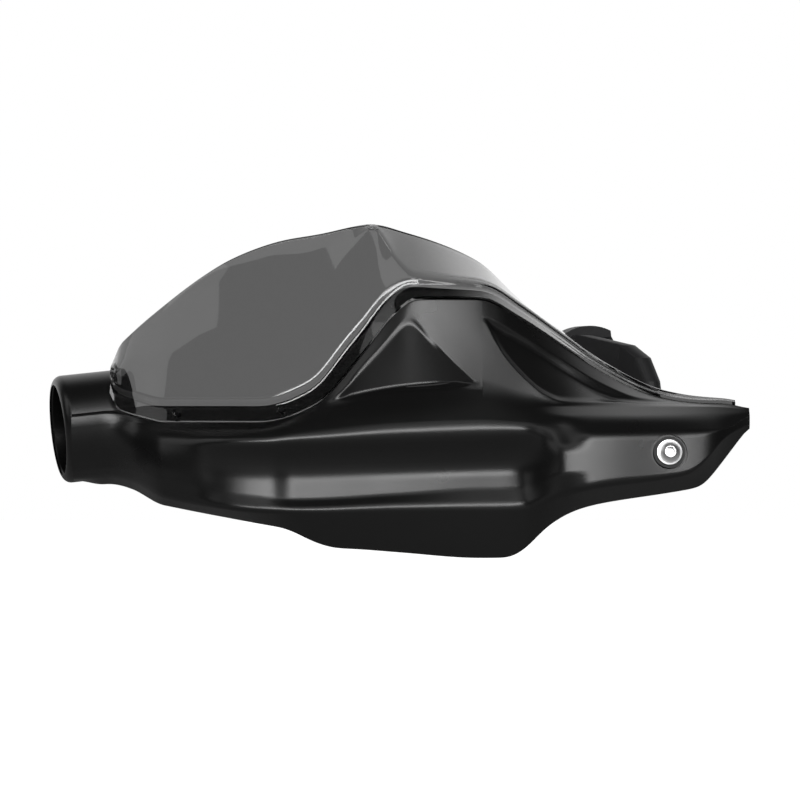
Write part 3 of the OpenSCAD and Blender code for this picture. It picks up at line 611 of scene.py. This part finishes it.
# Moulded or cast grain: fine noise as height for a bump, and broad clouds in the roughness
def grain_group():
    tree = bpy.data.node_groups.new("moulded_grain", "ShaderNodeTree")
    sock = tree.interface.new_socket
    for name in ("Grain Size", "Grain Depth", "Roughness", "Cloud"):
        sock(name=name, in_out="INPUT", socket_type="NodeSocketFloat")
    sock(name="Roughness", in_out="OUTPUT", socket_type="NodeSocketFloat")
    sock(name="Height", in_out="OUTPUT", socket_type="NodeSocketFloat")
    nodes, links = tree.nodes, tree.links
    given, result = nodes.new("NodeGroupInput"), nodes.new("NodeGroupOutput")
    coords = nodes.new("ShaderNodeTexCoord")
    grain = nodes.new("ShaderNodeTexNoise")
    grain.inputs["Detail"].default_value = 3
    links.new(coords.outputs["Object"], grain.inputs["Vector"])
    links.new(given.outputs["Grain Size"], grain.inputs["Scale"])
    depth = nodes.new("ShaderNodeMath")
    depth.operation = "MULTIPLY"
    links.new(grain.outputs["Fac"], depth.inputs[0])
    links.new(given.outputs["Grain Depth"], depth.inputs[1])
    links.new(depth.outputs[0], result.inputs["Height"])
    cloud = nodes.new("ShaderNodeTexNoise")
    cloud.inputs["Scale"].default_value = CLOUD_SCALE
    links.new(coords.outputs["Object"], cloud.inputs["Vector"])
    centred = nodes.new("ShaderNodeMath")
    centred.operation = "SUBTRACT"
    centred.inputs[1].default_value = 0.5
    links.new(cloud.outputs["Fac"], centred.inputs[0])
    rough = nodes.new("ShaderNodeMath")
    rough.operation = "MULTIPLY_ADD"
    links.new(centred.outputs[0], rough.inputs[0])
    links.new(given.outputs["Cloud"], rough.inputs[1])
    links.new(given.outputs["Roughness"], rough.inputs[2])
    links.new(rough.outputs[0], result.inputs["Roughness"])
    return tree


GRAIN = grain_group()


# Eases a shader's input from one value to another as the surface turns away from the eye
def by_angle(tree, socket, front, edge, start, end):
    facing = tree.nodes.new("ShaderNodeLayerWeight")
    facing.inputs["Blend"].default_value = 0.5
    ease = tree.nodes.new("ShaderNodeMapRange")
    ease.interpolation_type = "SMOOTHSTEP"
    ease.inputs["From Min"].default_value = start
    ease.inputs["From Max"].default_value = end
    ease.inputs["To Min"].default_value = front
    ease.inputs["To Max"].default_value = edge
    tree.links.new(facing.outputs["Facing"], ease.inputs["Value"])
    tree.links.new(ease.outputs["Result"], socket)


def finish(name, colour, metallic, roughness, grain_size, grain_depth, cloud):
    mat, tree, shader = new_material(name)
    group = tree.nodes.new("ShaderNodeGroup")
    group.node_tree = GRAIN
    group.inputs["Grain Size"].default_value = grain_size
    group.inputs["Grain Depth"].default_value = grain_depth
    group.inputs["Roughness"].default_value = roughness
    group.inputs["Cloud"].default_value = cloud
    bump = tree.nodes.new("ShaderNodeBump")
    bump.inputs["Distance"].default_value = BUMP_DISTANCE
    bump.inputs["Strength"].default_value = 1
    tree.links.new(group.outputs["Height"], bump.inputs["Height"])
    tree.links.new(bump.outputs["Normal"], shader.inputs["Normal"])
    tree.links.new(group.outputs["Roughness"], shader.inputs["Roughness"])
    shader.inputs["Base Color"].default_value = (*colour, 1)
    shader.inputs["Metallic"].default_value = metallic
    gloss = shader.inputs["Specular IOR Level"]
    by_angle(tree, gloss, front=0.5, edge=0.2, start=0.35, end=0.8)
    return mat


def smoked_plastic():
    mat, tree, shader = new_material("smoked_plastic")
    # Painted reflection: the base colour lightens from the smoke's 0.118 at the front to 0.4 as the
    # surface turns away from the eye, which stands in for the lighter look that reflections give the
    # turned-away panels
    by_angle(tree, shader.inputs["Base Color"], front=0.118, edge=0.4, start=0.12, end=0.6)
    shader.inputs["Transmission Weight"].default_value = 1
    shader.inputs["Roughness"].default_value = 0.03
    shader.inputs["IOR"].default_value = 1.58
    return mat


MATERIALS = {
    "black_plastic": finish("black_plastic", (0.006, 0.006, 0.006), metallic=0, roughness=0.29,
                            grain_size=3200, grain_depth=0.1, cloud=0.1),
    "smoked_plastic": smoked_plastic(),
    "bright_steel": finish("bright_steel", (0.85, 0.85, 0.85), metallic=1, roughness=0.42,
                           grain_size=1500, grain_depth=0.02, cloud=0.1),
    "black_steel": finish("black_steel", (0.03, 0.03, 0.032), metallic=0.6, roughness=0.4,
                          grain_size=1500, grain_depth=0.05, cloud=0.1),
    "black_casting": finish("black_casting", (0.02, 0.02, 0.021), metallic=0.2, roughness=0.5,
                            grain_size=1800, grain_depth=0.3, cloud=0.15),
    "rubber": finish("rubber", (0.05, 0.05, 0.05), metallic=0, roughness=0.7,
                     grain_size=1800, grain_depth=0.1, cloud=0.1),
}


# Stage: places and lengths are in metres

CENTRE = Vector((0.1439, -0.045, 0.0123))
CAMERA_DISTANCE, CAMERA_LENS, CAMERA_SENSOR = 2.2, 217.1, 36
SOFTBOX_DISTANCE = 1.9
FLOOR_HALF, FLOOR_DROP = 3, 0.06
# World as reflections see it: dim, and bright where the direction's Y lies past these values
ROOM_LIGHT, BACKDROP_LIGHT = 0.03, 1.0
BACKDROP_FROM, BACKDROP_TO = 0.25, 0.8


# 1 for rays that come straight from the camera or through the deflector, 0 for the others
def seen_directly(tree):
    path = tree.nodes.new("ShaderNodeLightPath")
    both = tree.nodes.new("ShaderNodeMath")
    both.operation = "MAXIMUM"
    tree.links.new(path.outputs["Is Camera Ray"], both.inputs[0])
    tree.links.new(path.outputs["Is Transmission Ray"], both.inputs[1])
    return both.outputs[0]


# White to the camera and through the deflector; to reflections, a dim room with a bright backdrop
def studio_world():
    world = bpy.data.worlds.new("studio")
    world.use_nodes = True
    bpy.context.scene.world = world
    nodes, links = world.node_tree.nodes, world.node_tree.links
    seen = nodes["Background"]
    lit = nodes.new("ShaderNodeBackground")
    seen.inputs["Color"].default_value = (1, 1, 1, 1)
    lit.inputs["Color"].default_value = (1, 1, 1, 1)
    coords = nodes.new("ShaderNodeTexCoord")
    split = nodes.new("ShaderNodeSeparateXYZ")
    links.new(coords.outputs["Generated"], split.inputs["Vector"])
    level = nodes.new("ShaderNodeMapRange")
    level.interpolation_type = "SMOOTHSTEP"
    level.inputs["From Min"].default_value = BACKDROP_FROM
    level.inputs["From Max"].default_value = BACKDROP_TO
    level.inputs["To Min"].default_value = ROOM_LIGHT
    level.inputs["To Max"].default_value = BACKDROP_LIGHT
    links.new(split.outputs["Y"], level.inputs["Value"])
    links.new(level.outputs["Result"], lit.inputs["Strength"])
    choose = nodes.new("ShaderNodeMixShader")
    links.new(seen_directly(world.node_tree), choose.inputs["Fac"])
    links.new(lit.outputs[0], choose.inputs[1])
    links.new(seen.outputs[0], choose.inputs[2])
    links.new(choose.outputs[0], nodes["World Output"].inputs["Surface"])


def camera():
    data = bpy.data.cameras.new("camera")
    data.sensor_width = CAMERA_SENSOR
    data.lens = CAMERA_LENS
    obj = bpy.data.objects.new("camera", data)
    obj.location = CENTRE + Vector((0, -CAMERA_DISTANCE, 0))
    obj.rotation_euler = (math.pi / 2, 0, 0)
    bpy.context.scene.collection.objects.link(obj)
    bpy.context.scene.camera = obj


def floor():
    half, z = FLOOR_HALF, cad_bounds[0][2] - FLOOR_DROP
    verts = [(-half, -half, z), (half, -half, z), (half, half, z), (-half, half, z)]
    obj = new_object("floor", verts, [(0, 1, 2, 3)], millimetres=False)
    mat, tree, shader = new_material("pale_floor")
    shader.inputs["Base Color"].default_value = (0.4, 0.4, 0.4, 1)
    shader.inputs["Roughness"].default_value = 0.9
    glow = tree.nodes.new("ShaderNodeEmission")
    add = tree.nodes.new("ShaderNodeAddShader")
    tree.links.new(seen_directly(tree), glow.inputs["Strength"])
    tree.links.new(shader.outputs[0], add.inputs[0])
    tree.links.new(glow.outputs[0], add.inputs[1])
    tree.links.new(add.outputs[0], tree.nodes["Material Output"].inputs["Surface"])
    obj.data.materials.append(mat)


# Area light aimed at the guard; azimuth 0 is on the camera's side, and grows to the camera's right
def softbox(name, azimuth, elevation, size, power):
    az, el, r = math.radians(azimuth), math.radians(elevation), SOFTBOX_DISTANCE
    away = Vector((r * math.sin(az) * math.cos(el), -r * math.cos(az) * math.cos(el), r * math.sin(el)))
    data = bpy.data.lights.new(name, "AREA")
    data.shape = "RECTANGLE"
    data.size, data.size_y = size
    data.energy = power
    obj = bpy.data.objects.new(name, data)
    obj.location = CENTRE + away
    obj.rotation_euler = (CENTRE - obj.location).to_track_quat("-Z", "Y").to_euler()
    bpy.context.scene.collection.objects.link(obj)


def lights():
    softbox("key", 3, 18, (1.0, 0.45), 15)
    softbox("upper", 14, 32, (0.7, 0.4), 4)
    softbox("left", -63, 30, (1.2, 1.0), 2.6)
    softbox("high", -25, 51, (2.2, 0.5), 3)
    softbox("right", 50, 46, (0.3, 0.3), 0.7)


def dress(obj, slot):
    obj.data.materials.clear()
    obj.data.materials.append(MATERIALS[slot])


def main():
    bpy.context.scene.view_settings.view_transform = "Standard"
    camera()
    studio_world()
    floor()
    lights()
    made = {"guard_shell": (guard_shell(), "black_plastic"),
            "wind_deflector": (wind_deflector(), "smoked_plastic")}
    for node, (obj, slot) in made.items():
        dress(obj, slot)
        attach(obj, "root")
        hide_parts(node)
    for part in frame["record"]["subparts"]:
        if part["node"] not in made:
            dress(frame["nodes"][part["node"]], part["material_slot"])


main()
